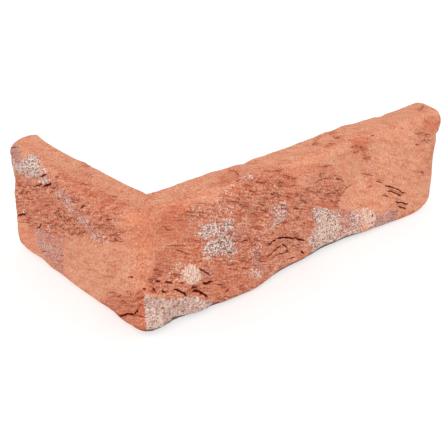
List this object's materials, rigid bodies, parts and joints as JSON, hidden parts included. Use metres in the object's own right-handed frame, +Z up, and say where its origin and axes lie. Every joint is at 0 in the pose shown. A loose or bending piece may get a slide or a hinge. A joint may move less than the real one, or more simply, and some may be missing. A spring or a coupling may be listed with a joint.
{
  "type": "corner brick slip",
  "caption": "L-shaped facing slip of hand-moulded clay brick that wraps an outside wall corner, with wavy worn outer faces and flat sawn backs.",
  "frame": {"origin": "under the middle of the bounding box, on the lower bed that it stands on", "axes": "+Z up from bed to bed; +X along the stretcher leg, away from the outer corner; +Y along the header leg; the outer faces look towards -Y and -X"},
  "size_m": [0.2411, 0.1306, 0.065],
  "materials": {
    "fired_clay": "matt fired clay with a rough hand-moulded skin, peach and brick-red zones and pale lime patches"
  },
  "bodies": {
    "root": {"brick_slip": "fired_clay"}
  },
  "joints": []
}
